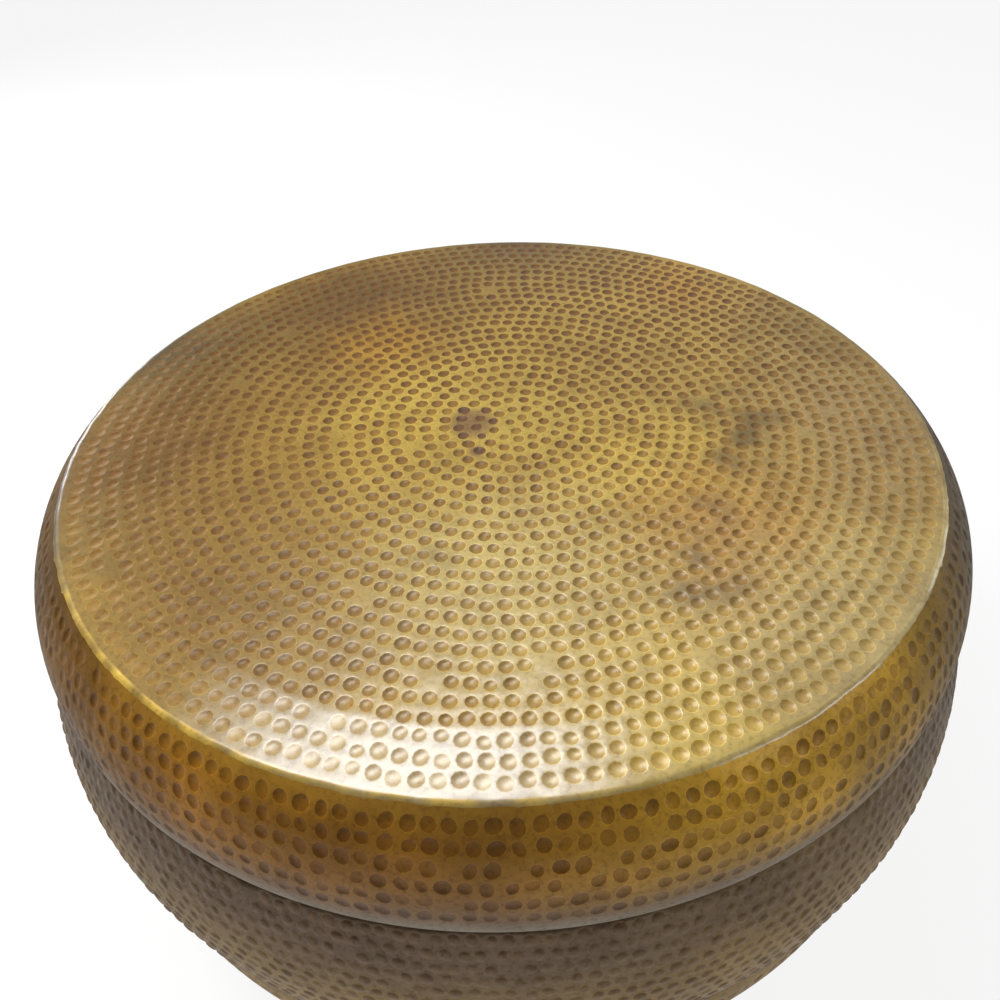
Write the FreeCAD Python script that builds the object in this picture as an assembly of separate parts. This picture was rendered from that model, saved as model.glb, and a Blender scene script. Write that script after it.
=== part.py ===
"""Hammered brass drum coffee table: a sheet-metal drum around a steel and plywood inner frame.

Millimetres. +Z is up, the origin is on the floor under the middle of the table, and the
butt seam of the drum wall is at the back, on +Y.
"""

import FreeCAD, Part
import math
import os

# Overall sizes
TABLE_HEIGHT = 406.0
RIM_RADIUS = 400.0
BELLY_RADIUS = 453.0
SHEET = 1.2

# The shoulder band at the top, and its mirror image at the base
BAND_HEIGHT = 96.0
BAND_MID_HEIGHT = 41.0
BAND_MID_RADIUS = 428.8
BAND_CREASE_RADIUS = 435.0
TUCK_HEIGHT = 5.0
TUCK_BULGE = 0.8
SPIGOT_RADIUS = 430.8
SPIGOT_LENGTH = 18.0
FLANGE_INNER_RADIUS = 375.0

# The barrel-shaped wall between the two creases
WALL_EDGE_RADIUS = 432.5
CREASE_GAP = 0.4
SEAM_GAP = 0.6
SEAM_STRIP_WIDTH = 40.0
SEAM_STRIP_MARGIN = 24.0
BRAZE_GAP = 0.2

# Rim of the top sheet
RIM_ROUND = 1.0

# Plywood
DECK_THICKNESS = 15.0
DECK_RADIUS = 372.0
RING_THICKNESS = 18.0
RING_INNER_RADIUS = 322.0
RING_OUTER_RADIUS = 394.0

# Steel frame: channel bars under the deck, tube posts and their foot plates
BAR_WIDTH = 40.0
BAR_DEPTH = 20.0
BAR_WALL = 2.5
BAR_REACH = 378.0
POST_SIDE = 30.0
POST_WALL = 2.0
POST_RADIUS = 357.0
PLATE_SIDE = 60.0
PLATE_THICKNESS = 4.0
PLATE_HOLE_OFFSET = 22.0

# Nylon glides, which lift the drum off the floor
BASE_CLEARANCE = 8.0
GLIDE_RADIUS = 14.0
GLIDE_ROUND = 2.0
GLIDE_RECESS_RADIUS = 5.0
GLIDE_RECESS_DEPTH = 4.5

# Wood screws
SHANK_RADIUS = 2.0
HEAD_RADIUS = 4.0
HEAD_HEIGHT = 2.2
HEAD_ROUND = 1.2
POINT_LENGTH = 3.0
SCREW_BITE = 12.0
CLEARANCE_HOLE_RADIUS = 2.3
PILOT_DEPTH = 12.5
DECK_SCREW_PLACES = (90.0, 200.0, 310.0)
FLANGE_SCREW_COUNT = 12
FLANGE_SCREW_RADIUS = 384.0

# Levels worked out from the sizes above
RIM_LEVEL = TABLE_HEIGHT - SHEET
DECK_LEVEL = RIM_LEVEL - DECK_THICKNESS
BAR_WEB_LEVEL = DECK_LEVEL - BAR_WALL
RING_LEVEL = BASE_CLEARANCE + SHEET
PLATE_LEVEL = RING_LEVEL + RING_THICKNESS
POST_LEVEL = PLATE_LEVEL + PLATE_THICKNESS
CREASE_DROP = BAND_HEIGHT + TUCK_HEIGHT
WALL_TOP = RIM_LEVEL - CREASE_DROP - CREASE_GAP
WALL_BOTTOM = BASE_CLEARANCE + CREASE_DROP + CREASE_GAP
WALL_MIDDLE = (WALL_TOP + WALL_BOTTOM) / 2

QUARTERS = {"right": 0.0, "back": 90.0, "left": 180.0, "front": 270.0}
PLATE_CORNERS = [(x, y) for x in (-1, 1) for y in (-1, 1)]
ORIGIN = FreeCAD.Vector(0, 0, 0)
UP = FreeCAD.Vector(0, 0, 1)
EDGE_TOLERANCE = 0.01


def at(radius, level):
    return FreeCAD.Vector(radius, 0, level)


def line(start, end):
    return Part.LineSegment(start, end).toShape()


def arc(start, middle, end):
    return Part.Arc(start, middle, end).toShape()


def outline(points):
    """Straight edges from each point to the next."""
    return [line(a, b) for a, b in zip(points, points[1:])]


def turned(edges, angle=360.0):
    """The closed outline made by the edges, turned about the table's upright axis."""
    face = Part.Face(Part.Wire(Part.__sortEdges__(edges)))
    return face.revolve(ORIGIN, UP, angle)


def on_circle(centre, radius, level):
    """The outer point of a profile circle at a level."""
    return at(centre.x + math.sqrt(radius**2 - (level - centre.z) ** 2), level)


def around(shape, angle):
    """A copy of the shape, turned about the upright axis."""
    copy = shape.copy()
    copy.rotate(ORIGIN, UP, angle)
    return copy


def moved(shape, x, y, z):
    copy = shape.copy()
    copy.translate(FreeCAD.Vector(x, y, z))
    return copy


def block(x_size, y_size, low, high):
    """An upright box centred on the axis between two levels."""
    return Part.makeBox(x_size, y_size, high - low, FreeCAD.Vector(-x_size / 2, -y_size / 2, low))


def rounded(solid, level, radius):
    """The solid with its circular edge at a level rounded."""
    circles = [e for e in solid.Edges if isinstance(e.Curve, Part.Circle)]
    edges = [e for e in circles if abs(e.CenterOfMass.z - level) < EDGE_TOLERANCE]
    return solid.makeFillet(radius, edges)


def bore(radius, x, y, low, high):
    return Part.makeCylinder(radius, high - low, FreeCAD.Vector(x, y, low))


def screw(head_level, reach):
    """A pan-head wood screw that points up; the underside of its head is at head_level."""
    crown_level = head_level - HEAD_HEIGHT
    blank = Part.makeCylinder(HEAD_RADIUS, HEAD_HEIGHT, at(0, crown_level))
    head = rounded(blank, crown_level, HEAD_ROUND)
    shank = Part.makeCylinder(SHANK_RADIUS, reach - POINT_LENGTH, at(0, head_level))
    point = Part.makeCone(SHANK_RADIUS, 0, POINT_LENGTH, at(0, head_level + reach - POINT_LENGTH))
    return head.fuse([shank, point]).removeSplitter()


def screw_pointing_down(head_level, reach):
    upright = screw(0, reach)
    upright.rotate(ORIGIN, FreeCAD.Vector(1, 0, 0), 180)
    return moved(upright, 0, 0, head_level)


def deck_screw_places():
    """Places along both lines of bars, clear of the posts."""
    along = [sign * place for place in DECK_SCREW_PLACES for sign in (-1, 1)]
    return [(x, 0) for x in along] + [(0, y) for y in along]


def flange_screw_places():
    step = 360.0 / FLANGE_SCREW_COUNT
    angles = [math.radians(i * step) for i in range(FLANGE_SCREW_COUNT)]
    return [(FLANGE_SCREW_RADIUS * math.cos(a), FLANGE_SCREW_RADIUS * math.sin(a)) for a in angles]


def plate_screw_places():
    """The four screws of the foot plate on the right, before it is turned to its own side."""
    return [(POST_RADIUS + x * PLATE_HOLE_OFFSET, y * PLATE_HOLE_OFFSET) for x, y in PLATE_CORNERS]


def band(edge_level, way):
    """A spun band from its flange at edge_level to the spigot past the crease. way is -1 down, 1 up."""
    rim = at(RIM_RADIUS, edge_level)
    middle = at(BAND_MID_RADIUS, edge_level + way * BAND_MID_HEIGHT)
    turned_under = at(BAND_CREASE_RADIUS, edge_level + way * BAND_HEIGHT)
    outer = arc(rim, middle, turned_under)
    centre = outer.Curve.Center
    inner_radius = outer.Curve.Radius - SHEET

    crease_level = edge_level + way * CREASE_DROP
    spigot_top = at(SPIGOT_RADIUS, crease_level)
    spigot_end = at(SPIGOT_RADIUS, crease_level + way * SPIGOT_LENGTH)
    inner_end = at(SPIGOT_RADIUS - SHEET, spigot_end.z)
    inner_top = at(SPIGOT_RADIUS - SHEET, crease_level - way * SHEET)
    tuck_middle = (turned_under + spigot_top) * 0.5 + at(TUCK_BULGE, way * TUCK_BULGE)

    inner_under = on_circle(centre, inner_radius, turned_under.z)
    inner_middle = on_circle(centre, inner_radius, middle.z)
    inner_rim = on_circle(centre, inner_radius, edge_level + way * SHEET)
    flange_inside = at(FLANGE_INNER_RADIUS, inner_rim.z)
    flange_edge = at(FLANGE_INNER_RADIUS, edge_level)

    edges = [outer, arc(turned_under, tuck_middle, spigot_top)]
    edges += outline([spigot_top, spigot_end, inner_end, inner_top, inner_under])
    edges.append(arc(inner_under, inner_middle, inner_rim))
    edges += outline([inner_rim, flange_inside, flange_edge, rim])
    return turned(edges)


def top_sheet():
    disc = Part.makeCylinder(RIM_RADIUS, SHEET, at(0, RIM_LEVEL))
    return rounded(disc, TABLE_HEIGHT, RIM_ROUND)


def shoulder_band():
    return band(RIM_LEVEL, -1)


def base_band():
    holes = [bore(CLEARANCE_HOLE_RADIUS, x, y, 0, RING_LEVEL + SHEET) for x, y in flange_screw_places()]
    return band(BASE_CLEARANCE, 1).cut(holes)


def wall_circle():
    """The circle that the outside of the drum wall follows from crease to crease."""
    belly = at(BELLY_RADIUS, WALL_MIDDLE)
    return arc(at(WALL_EDGE_RADIUS, WALL_TOP), belly, at(WALL_EDGE_RADIUS, WALL_BOTTOM)).Curve


def barrel_skin(outer_offset, inner_offset, top, bottom, angle=360.0):
    """A skin inside the wall's outer arc, between two depths and two levels."""
    circle = wall_circle()
    edges = []
    corners = []
    for depth in (outer_offset, inner_offset):
        radius = circle.Radius - depth
        points = [on_circle(circle.Center, radius, level) for level in (top, WALL_MIDDLE, bottom)]
        edges.append(arc(*points))
        corners.append((points[0], points[2]))
    edges.append(line(corners[0][0], corners[1][0]))
    edges.append(line(corners[0][1], corners[1][1]))
    return turned(edges, angle)


def drum_wall():
    wall = barrel_skin(0, SHEET, WALL_TOP, WALL_BOTTOM)
    corner = FreeCAD.Vector(-SEAM_GAP / 2, RIM_RADIUS, 0)
    return wall.cut(Part.makeBox(SEAM_GAP, BELLY_RADIUS, TABLE_HEIGHT, corner))


def wall_seam_strip():
    angle = math.degrees(SEAM_STRIP_WIDTH / BELLY_RADIUS)
    outer = SHEET + BRAZE_GAP
    top = WALL_TOP - SEAM_STRIP_MARGIN
    strip = barrel_skin(outer, outer + SHEET, top, WALL_BOTTOM + SEAM_STRIP_MARGIN, angle)
    return around(strip, QUARTERS["back"] - angle / 2)


def deck_board():
    board = Part.makeCylinder(DECK_RADIUS, DECK_THICKNESS, at(0, DECK_LEVEL))
    up_to = DECK_LEVEL + PILOT_DEPTH
    return board.cut([bore(SHANK_RADIUS, x, y, DECK_LEVEL, up_to) for x, y in deck_screw_places()])


def channel(start, end):
    """A channel bar along X with its web up against the deck, drilled for the deck screws."""
    low = DECK_LEVEL - BAR_DEPTH
    length = end - start
    bar = Part.makeBox(length, BAR_WIDTH, BAR_DEPTH, FreeCAD.Vector(start, -BAR_WIDTH / 2, low))
    trough_width = BAR_WIDTH - 2 * BAR_WALL
    corner = FreeCAD.Vector(start, -trough_width / 2, low)
    trough = Part.makeBox(length, trough_width, BAR_DEPTH - BAR_WALL, corner)
    places = [sign * place for place in DECK_SCREW_PLACES for sign in (-1, 1)]
    holes = [bore(CLEARANCE_HOLE_RADIUS, x, 0, low, DECK_LEVEL) for x in places if start < x < end]
    return bar.cut([trough, *holes])


def cross_bar_long():
    return channel(-BAR_REACH, BAR_REACH)


def cross_bar_half(side):
    """A half bar that butts on the side of the long bar."""
    return around(channel(BAR_WIDTH / 2, BAR_REACH), QUARTERS[side])


def post(side):
    tube = block(POST_SIDE, POST_SIDE, POST_LEVEL, BAR_WEB_LEVEL)
    inside = POST_SIDE - 2 * POST_WALL
    tube = tube.cut(block(inside, inside, POST_LEVEL, BAR_WEB_LEVEL))
    return around(moved(tube, POST_RADIUS, 0, 0), QUARTERS[side])


def foot_plate(side):
    plate = moved(block(PLATE_SIDE, PLATE_SIDE, PLATE_LEVEL, POST_LEVEL), POST_RADIUS, 0, 0)
    holes = [bore(CLEARANCE_HOLE_RADIUS, x, y, PLATE_LEVEL, POST_LEVEL) for x, y in plate_screw_places()]
    return around(plate.cut(holes), QUARTERS[side])


def base_segment(side):
    """A quarter of the plywood ring on the base flange, with a foot plate and a glide at its middle."""
    quarter = sector(RING_OUTER_RADIUS).cut(sector(RING_INNER_RADIUS))
    up_to = RING_LEVEL + PILOT_DEPTH
    pilots = [bore(SHANK_RADIUS, x, y, RING_LEVEL, up_to) for x, y in flange_screw_places() if x > abs(y)]
    pilots.append(bore(SHANK_RADIUS, POST_RADIUS, 0, RING_LEVEL, up_to))
    for x, y in plate_screw_places():
        pilots.append(bore(SHANK_RADIUS, x, y, PLATE_LEVEL - PILOT_DEPTH, PLATE_LEVEL))
    return around(quarter.cut(pilots), QUARTERS[side])


def sector(radius):
    """A quarter disc as thick as the ring, its middle on the right."""
    quarter = Part.makeCylinder(radius, RING_THICKNESS, at(0, RING_LEVEL), UP, 90)
    return around(quarter, -45)


def glide(side):
    pad = rounded(Part.makeCylinder(GLIDE_RADIUS, RING_LEVEL), 0, GLIDE_ROUND)
    recess = Part.makeCylinder(GLIDE_RECESS_RADIUS, GLIDE_RECESS_DEPTH)
    hole = Part.makeCylinder(CLEARANCE_HOLE_RADIUS, RING_LEVEL)
    return around(moved(pad.cut([recess, hole]), POST_RADIUS, 0, 0), QUARTERS[side])


def deck_screws():
    one = screw(BAR_WEB_LEVEL, BAR_WALL + SCREW_BITE)
    return Part.makeCompound([moved(one, x, y, 0) for x, y in deck_screw_places()])


def flange_screws():
    one = screw(BASE_CLEARANCE, SHEET + SCREW_BITE)
    return Part.makeCompound([moved(one, x, y, 0) for x, y in flange_screw_places()])


def plate_screws():
    one = screw_pointing_down(POST_LEVEL, PLATE_THICKNESS + SCREW_BITE)
    four = [moved(one, x, y, 0) for x, y in plate_screw_places()]
    return Part.makeCompound([around(s, angle) for angle in QUARTERS.values() for s in four])


def glide_screws():
    reach = RING_LEVEL - GLIDE_RECESS_DEPTH + SCREW_BITE
    one = moved(screw(GLIDE_RECESS_DEPTH, reach), POST_RADIUS, 0, 0)
    return Part.makeCompound([around(one, angle) for angle in QUARTERS.values()])


def main():
    os.makedirs("parts", exist_ok=True)
    pieces = {
        "top_sheet": top_sheet(),
        "shoulder_band": shoulder_band(),
        "drum_wall": drum_wall(),
        "base_band": base_band(),
        "wall_seam_strip": wall_seam_strip(),
        "deck_board": deck_board(),
        "cross_bar_long": cross_bar_long(),
        "cross_bar_front": cross_bar_half("front"),
        "cross_bar_back": cross_bar_half("back"),
        "deck_screws": deck_screws(),
        "flange_screws": flange_screws(),
        "plate_screws": plate_screws(),
        "glide_screws": glide_screws(),
    }
    for side in QUARTERS:
        pieces["base_segment_" + side] = base_segment(side)
        pieces["post_" + side] = post(side)
        pieces["foot_plate_" + side] = foot_plate(side)
        pieces["glide_" + side] = glide(side)
    for name, shape in pieces.items():
        shape.exportStep("parts/" + name + ".step")
        print(name, "solids:", len(shape.Solids), "valid:", shape.isValid())


main()
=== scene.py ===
"""Hammered brass drum coffee table: finished pieces, materials, studio and camera."""

import math
import random

import bmesh
import bpy
from mathutils import Matrix, Vector, kdtree, noise


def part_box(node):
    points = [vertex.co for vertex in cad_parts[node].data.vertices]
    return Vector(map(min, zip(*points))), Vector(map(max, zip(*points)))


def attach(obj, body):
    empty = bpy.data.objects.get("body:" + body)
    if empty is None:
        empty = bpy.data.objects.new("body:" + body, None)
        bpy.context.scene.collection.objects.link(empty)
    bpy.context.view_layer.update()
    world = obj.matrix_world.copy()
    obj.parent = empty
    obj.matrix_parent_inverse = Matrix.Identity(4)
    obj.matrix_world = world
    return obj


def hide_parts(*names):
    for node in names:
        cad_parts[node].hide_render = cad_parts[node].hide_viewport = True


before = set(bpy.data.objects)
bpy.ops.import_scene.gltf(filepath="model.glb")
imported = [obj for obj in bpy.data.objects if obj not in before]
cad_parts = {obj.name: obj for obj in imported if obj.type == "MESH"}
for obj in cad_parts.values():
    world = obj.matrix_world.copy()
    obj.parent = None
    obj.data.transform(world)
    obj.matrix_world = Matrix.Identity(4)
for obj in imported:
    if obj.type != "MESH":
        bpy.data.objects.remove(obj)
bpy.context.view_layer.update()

MM = 0.001

# Every uneven blow of the hammer comes from here, and every wandering edge and lump from the noise
SEED = 11
hand = random.Random(SEED)
noise.seed_set(SEED)

# Sizes of the brass work, read from the frame or kept as in the part's source
SHEET = 1.2 * MM
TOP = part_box("top_sheet")[1].z
RIM_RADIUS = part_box("top_sheet")[1].x
RIM_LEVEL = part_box("top_sheet")[0].z
BASE_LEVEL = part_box("base_band")[0].z
BAND_HEIGHT = 96 * MM
BAND_MID_HEIGHT = 41 * MM
BAND_MID_RADIUS = 428.8 * MM
BAND_CREASE_RADIUS = 435 * MM
TUCK_HEIGHT = 5 * MM
TUCK_BULGE = 0.8 * MM
SPIGOT_RADIUS = 430.8 * MM
SPIGOT_LENGTH = 18 * MM
FLANGE_INNER_RADIUS = 375 * MM
BELLY_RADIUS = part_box("drum_wall")[1].x
WALL_EDGE_RADIUS = 432.5 * MM
WALL_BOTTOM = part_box("drum_wall")[0].z
WALL_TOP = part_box("drum_wall")[1].z
SEAM_GAP = 0.6 * MM

# Sides of a ring round the drum. The edge of the top has twice as many
SIDES = 360

# The edge of the top is dressed down a little, then rolled over until it runs on into the shoulder
ROLL = 8 * MM
ROLL_TURN = math.radians(40.2)
ROLL_STEPS = 5
TOP_EDGE = RIM_RADIUS - ROLL * math.sin(ROLL_TURN)
DROOP_START = 342 * MM
DROOP_SLOPE = math.tan(math.radians(2.2))
DROOP = 1.1 * MM
SEAM_LEVEL = TOP - DROOP - ROLL + ROLL * math.cos(ROLL_TURN)
BOARD_EDGE = 375 * MM
HEM = 2.5 * MM

# A dent has a rounded lip, a sloping side and a shallow bottom. The widths are shares of its radius
LIP_WIDTH = 0.11
LIP_SLOPE = math.tan(math.radians(10))
SIDE_WIDTH = 0.20
SIDE_SLOPE = math.tan(math.radians(30))
BOTTOM_SLOPE = math.tan(math.radians(5.5))

# The least ridge between two dents, and how many dents are looked at to keep it
RIDGE = 0.15 * MM
NEIGHBOURS = 8

# Dents of one size and strength are sunk together, their sizes rounded to this step
SIZE_STEP = 0.2 * MM

# A faint dent is browned less, and the middle of a dent a little less than its side
STAIN_BY_STRENGTH = 0.4
MIDDLE_STAIN = 0.9


# Places and fades


def clamped(value):
    return min(1, max(0, value))


def ramp(value, start, end):
    """0 up to the start, 1 past the end, and even in between."""
    return clamped((value - start) / (end - start))


def on_circle(angle, radius, height):
    return Vector((radius * math.cos(angle), radius * math.sin(angle), height))


def angle_of(v):
    return math.atan2(v.co.y, v.co.x)


def turn_of(spot):
    """The way a place lies from the axis, in radians: 0 at the front, more to the right."""
    return math.atan2(spot.x, -spot.y)


def lobe(turn, middle, reach, fade=0.3):
    """1 round a middle direction, fading to 0 at its reach on either side. All are in radians."""
    return clamped((reach - abs(turn - middle)) / fade)


def apart(spot, across, back):
    """How far a place is, on the plan, from a point that is given in mm. The answer is in mm too."""
    return math.hypot(spot.x / MM - across, spot.y / MM - back)


# Profiles of the drum, as arcs in the radius and height plane


class Arc:
    """The part of a circle that runs through three points, measured by length from the first."""

    def __init__(self, start, middle, end):
        (ax, ay), (bx, by), (cx, cy) = start, middle, end
        d = 2 * (ax * (by - cy) + bx * (cy - ay) + cx * (ay - by))
        a2, b2, c2 = ax**2 + ay**2, bx**2 + by**2, cx**2 + cy**2
        self.x = (a2 * (by - cy) + b2 * (cy - ay) + c2 * (ay - by)) / d
        self.y = (a2 * (cx - bx) + b2 * (ax - cx) + c2 * (bx - ax)) / d
        self.radius = math.hypot(ax - self.x, ay - self.y)
        self.first = math.atan2(ay - self.y, ax - self.x)
        self.turn = math.atan2(cy - self.y, cx - self.x) - self.first
        self.length = abs(self.turn) * self.radius

    def at(self, along, proud=0.0):
        """Radius and height of the point this far along, moved out from the sheet by proud."""
        angle = self.first + self.turn * along / self.length
        reach = self.radius + proud
        return self.x + reach * math.cos(angle), self.y + reach * math.sin(angle)


def band_profile(edge, way, rim_height):
    """The outside of a band from its upper edge down. way is -1 for the shoulder and 1 for the base."""
    middle = (BAND_MID_RADIUS, edge + way * BAND_MID_HEIGHT)
    crease = (BAND_CREASE_RADIUS, edge + way * BAND_HEIGHT)
    rim = (RIM_RADIUS, rim_height)
    return Arc(rim, middle, crease) if way < 0 else Arc(crease, middle, rim)


SHOULDER = band_profile(RIM_LEVEL, -1, SEAM_LEVEL)
BASE = band_profile(BASE_LEVEL, 1, BASE_LEVEL)
WALL_MIDDLE = (WALL_TOP + WALL_BOTTOM) / 2
WALL = Arc((WALL_EDGE_RADIUS, WALL_TOP), (BELLY_RADIUS, WALL_MIDDLE), (WALL_EDGE_RADIUS, WALL_BOTTOM))


# Striking the dents: circles laid out on a flat sheet, then shaped, then sunk


def strike_row(bm, place, radius, sides, count, axis_at=(0, 0, 0), angle=0.0, step=(0, 0, 0)):
    """Lays one dent outline at a place and repeats it along a circle or a line. Returns the faces."""
    row = bmesh.new()
    bmesh.ops.create_circle(row, cap_ends=True, radius=radius, segments=sides, matrix=place)
    bmesh.ops.spin(
        row, geom=row.verts[:] + row.edges[:] + row.faces[:], cent=axis_at, axis=(0, 0, 1), dvec=step,
        angle=angle * (count - 1), steps=count - 1, use_duplicate=True,
    )
    laid = bpy.data.meshes.new("row")
    row.to_mesh(laid)
    row.free()
    known = len(bm.faces)
    bm.from_mesh(laid)
    bpy.data.meshes.remove(laid)
    bm.faces.ensure_lookup_table()
    return bm.faces[known:]


def loosen(face, shift, size, stretch, turn):
    """Moves one dent outline off its even spacing and makes it a little oval."""
    centre = face.calc_center_median()
    spin = Matrix.Rotation(turn, 3, "Z")
    oval = spin @ Matrix.Diagonal((size * stretch, size / stretch, 1)) @ spin.inverted()
    for v in face.verts:
        v.co = centre + shift + oval @ (v.co - centre)


def miss_some(bm, faces, share):
    """Takes out a share of the dents, as the hammer missed them."""
    struck = [(f, hand.random() >= share) for f in faces]
    kept = [f for f, hit in struck if hit]
    bmesh.ops.delete(bm, geom=[f for f, hit in struck if not hit], context="FACES")
    return kept


def keep_ridges(faces):
    """Shrinks dents that would run into their neighbours, so that a ridge is left between them."""
    centres = [f.calc_center_median() for f in faces]
    radii = [max((v.co - c).length for v in f.verts) for f, c in zip(faces, centres)]
    tree = kdtree.KDTree(len(centres))
    for i, c in enumerate(centres):
        tree.insert(c, i)
    tree.balance()
    for i, (face, centre) in enumerate(zip(faces, centres)):
        beside = [(far, j) for at, j, far in tree.find_n(centre, NEIGHBOURS) if j != i]
        size = min(1, min((far - RIDGE) / (radii[i] + radii[j]) for far, j in beside))
        for v in face.verts:
            v.co = centre + size * (v.co - centre)


def sink(bm, dents, strength_of, stain_at):
    """Sinks every dent to a bowl, and browns it."""
    bm.normal_update()
    bowl = bm.verts.layers.float["bowl"]
    stain = bm.verts.layers.float["stain"]
    groups = {}
    for face in dents:
        radius = sum(e.calc_length() for e in face.edges) / math.tau
        size = max(1, round(radius / SIZE_STEP)) * SIZE_STEP
        brown = strength_of[face] ** STAIN_BY_STRENGTH * stain_at(face.calc_center_median())
        groups.setdefault((size, strength_of[face]), []).append((face, brown))
        for v in face.verts:
            v[stain] = brown
    for (size, strength), members in groups.items():
        faces = [face for face, brown in members]
        for depth, share, slope in ((0.5, LIP_WIDTH, LIP_SLOPE), (1, SIDE_WIDTH, SIDE_SLOPE)):
            inset = share * size
            sunk = inset * slope * strength
            bmesh.ops.inset_individual(bm, faces=faces, thickness=inset, depth=-sunk, use_even_offset=True)
            for face, brown in members:
                for v in face.verts:
                    v[bowl] = depth
                    v[stain] = brown
        bottom = size * (1 - LIP_WIDTH - SIDE_WIDTH) * BOTTOM_SLOPE * strength
        for v in bmesh.ops.poke(bm, faces=faces, offset=-bottom, center_mode="MEAN")["verts"]:
            around = [e.other_vert(v)[stain] for e in v.link_edges]
            v[bowl] = 1
            v[stain] = MIDDLE_STAIN * sum(around) / len(around)


def sheet_layers(bm):
    """What the brass knows of itself: how far inside a dent, how brown the dent, the sheet's colour."""
    bm.verts.layers.float.new("bowl")
    bm.verts.layers.float.new("stain")
    bm.verts.layers.float_color.new("patina")


def lay_patina(bm, verts, colour_at):
    """Gives points of the sheet the colour, and the lacquer, that the brass has there."""
    patina = bm.verts.layers.float_color["patina"]
    for v in verts:
        v[patina] = colour_at(v.co)


def extruded(bm, edges):
    """Extrudes a ring of edges in place, and returns the new points and the new ring."""
    made = bmesh.ops.extrude_edge_only(bm, edges=edges)["geom"]
    verts = {v for v in made if isinstance(v, bmesh.types.BMVert)}
    ring = [e for e in made if isinstance(e, bmesh.types.BMEdge) and verts.issuperset(e.verts)]
    return verts, ring


def draw_out(bm, edges, radius, height):
    """Draws a ring of edges out to a new radius and height, and returns the new ring."""
    verts, ring = extruded(bm, edges)
    for v in verts:
        v.co = on_circle(angle_of(v), radius, height)
    return ring


def brass_piece(name, bm, node, material):
    """Makes a finished sheet into a piece that takes the place of its plain one."""
    bmesh.ops.recalc_face_normals(bm, faces=bm.faces)
    for face in bm.faces:
        face.smooth = True
    mesh = bpy.data.meshes.new(name)
    bm.to_mesh(mesh)
    bm.free()
    mesh.materials.append(material)
    piece = bpy.data.objects.new(name, mesh)
    bpy.context.scene.collection.objects.link(piece)
    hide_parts(node)
    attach(piece, "root")


# Patina: the colour of the flats, from a few soft patches. Some colours below are painted highlights,
# painted reflections and painted shade

GOLD = Vector((0.40, 0.28, 0.052))
BRASS = Vector((0.35, 0.23, 0.040))
BRIGHT_GOLD = Vector((0.50, 0.355, 0.058))
TAN = Vector((0.31, 0.21, 0.078))
BROWN = Vector((0.172, 0.092, 0.019))
UMBER = Vector((0.115, 0.065, 0.018))
OLIVE = Vector((0.118, 0.079, 0.031))
AMBER = Vector((0.40, 0.21, 0.020))
SOOT = Vector((0.088, 0.060, 0.017))
RED_BROWN = Vector((0.13, 0.066, 0.034))
# Pale front of the falling edge: partly rubbed brass, partly a painted highlight of the window's glare
PALE_AND_PAINTED_GLARE = Vector((0.34, 0.27, 0.16))
PALE_GOLD = Vector((0.48, 0.37, 0.115))
PALE_TAN = Vector((0.43, 0.315, 0.095))
# Rolled rim: gold brightened as a painted highlight at the front, and a pale painted highlight at the
# right
ROLL_GOLD_AND_HIGHLIGHT = Vector((0.56, 0.375, 0.06))
ROLL_PAINTED_HIGHLIGHT = Vector((0.56, 0.43, 0.15))
RIM_AMBER = Vector((0.48, 0.26, 0.022))
SIDE_AMBER = Vector((0.53, 0.235, 0.015))
SIDE_GOLD = Vector((0.78, 0.46, 0.036))
# Flanks of the sides: the left one darker, a painted shade
FLANK_LEFT_PAINTED_SHADE = Vector((0.085, 0.042, 0.006))
FLANK_RIGHT = Vector((0.105, 0.068, 0.024))
# Mauve of the band's lower part, partly a painted reflection
MAUVE_AND_PAINTED_REFLECTION = Vector((0.15, 0.105, 0.068))
WALL_BRASS = Vector((0.31, 0.195, 0.04))
# Pale line along the crease: a painted reflection of the pale floor, seen from the front
CREASE_PAINTED_REFLECTION = Vector((0.36, 0.30, 0.23))

# Place across and back from the middle, and radius, all in mm, then colour and strength
TOP_PATCHES = (
    (-20, 10, 240, GOLD, 1.0),
    (0, -205, 170, PALE_GOLD, 0.9),
    (120, -350, 140, BRIGHT_GOLD, 1.0),
    (270, -260, 170, PALE_TAN, 1.0),
    (120, -80, 110, BRIGHT_GOLD, 0.8),
    (-100, 40, 110, BRIGHT_GOLD, 0.4),
    (100, 110, 125, 0.88 * BRASS, 0.8),
    (-330, 0, 250, BROWN, 1.0),
    (-240, -215, 190, BROWN, 0.75),
    (-160, 250, 230, UMBER, 0.95),
    (-360, 170, 180, 0.75 * OLIVE, 1.0),
    (-400, -60, 170, UMBER, 0.55),
    (40, 430, 240, OLIVE, 1.0),
    (370, -20, 200, TAN, 0.9),
    (360, 160, 130, OLIVE, 0.45),
    (215, 255, 90, AMBER, 0.65),
    (-115, 150, 100, AMBER, 0.6),
    (185, -155, 110, AMBER, 0.75),
)
# The edges of the patches wander by about this much
PATCH_WANDER = 30 * MM
# Ragged smudges of soot on the flats: across, back and radius in mm, then strength
SMUDGES = (
    (228, 0, 62, 0.75),
    (212, -62, 48, 0.65),
    (165, -140, 40, 0.45),
    (150, -210, 52, 0.65),
    (300, 110, 70, 0.4),
    (-345, -150, 55, 0.45),
    (-60, -175, 40, 0.35),
    (-180, 300, 90, 0.5),
)
# Knots of dark dents: across, back and radius in mm
KNOTS = ((-24, 0, 25), (-20, -45, 9))
KNOT_STRENGTH = 0.75


def patched(ground, patches, spot):
    """The ground colour with every patch laid over it in turn."""
    shade = ground.copy()
    for across, back, radius, paint, strength in patches:
        far = apart(spot, across, back) / radius
        if far < 1:
            shade = shade.lerp(paint, strength * (1 - far**2) ** 2)
    return shade


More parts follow.
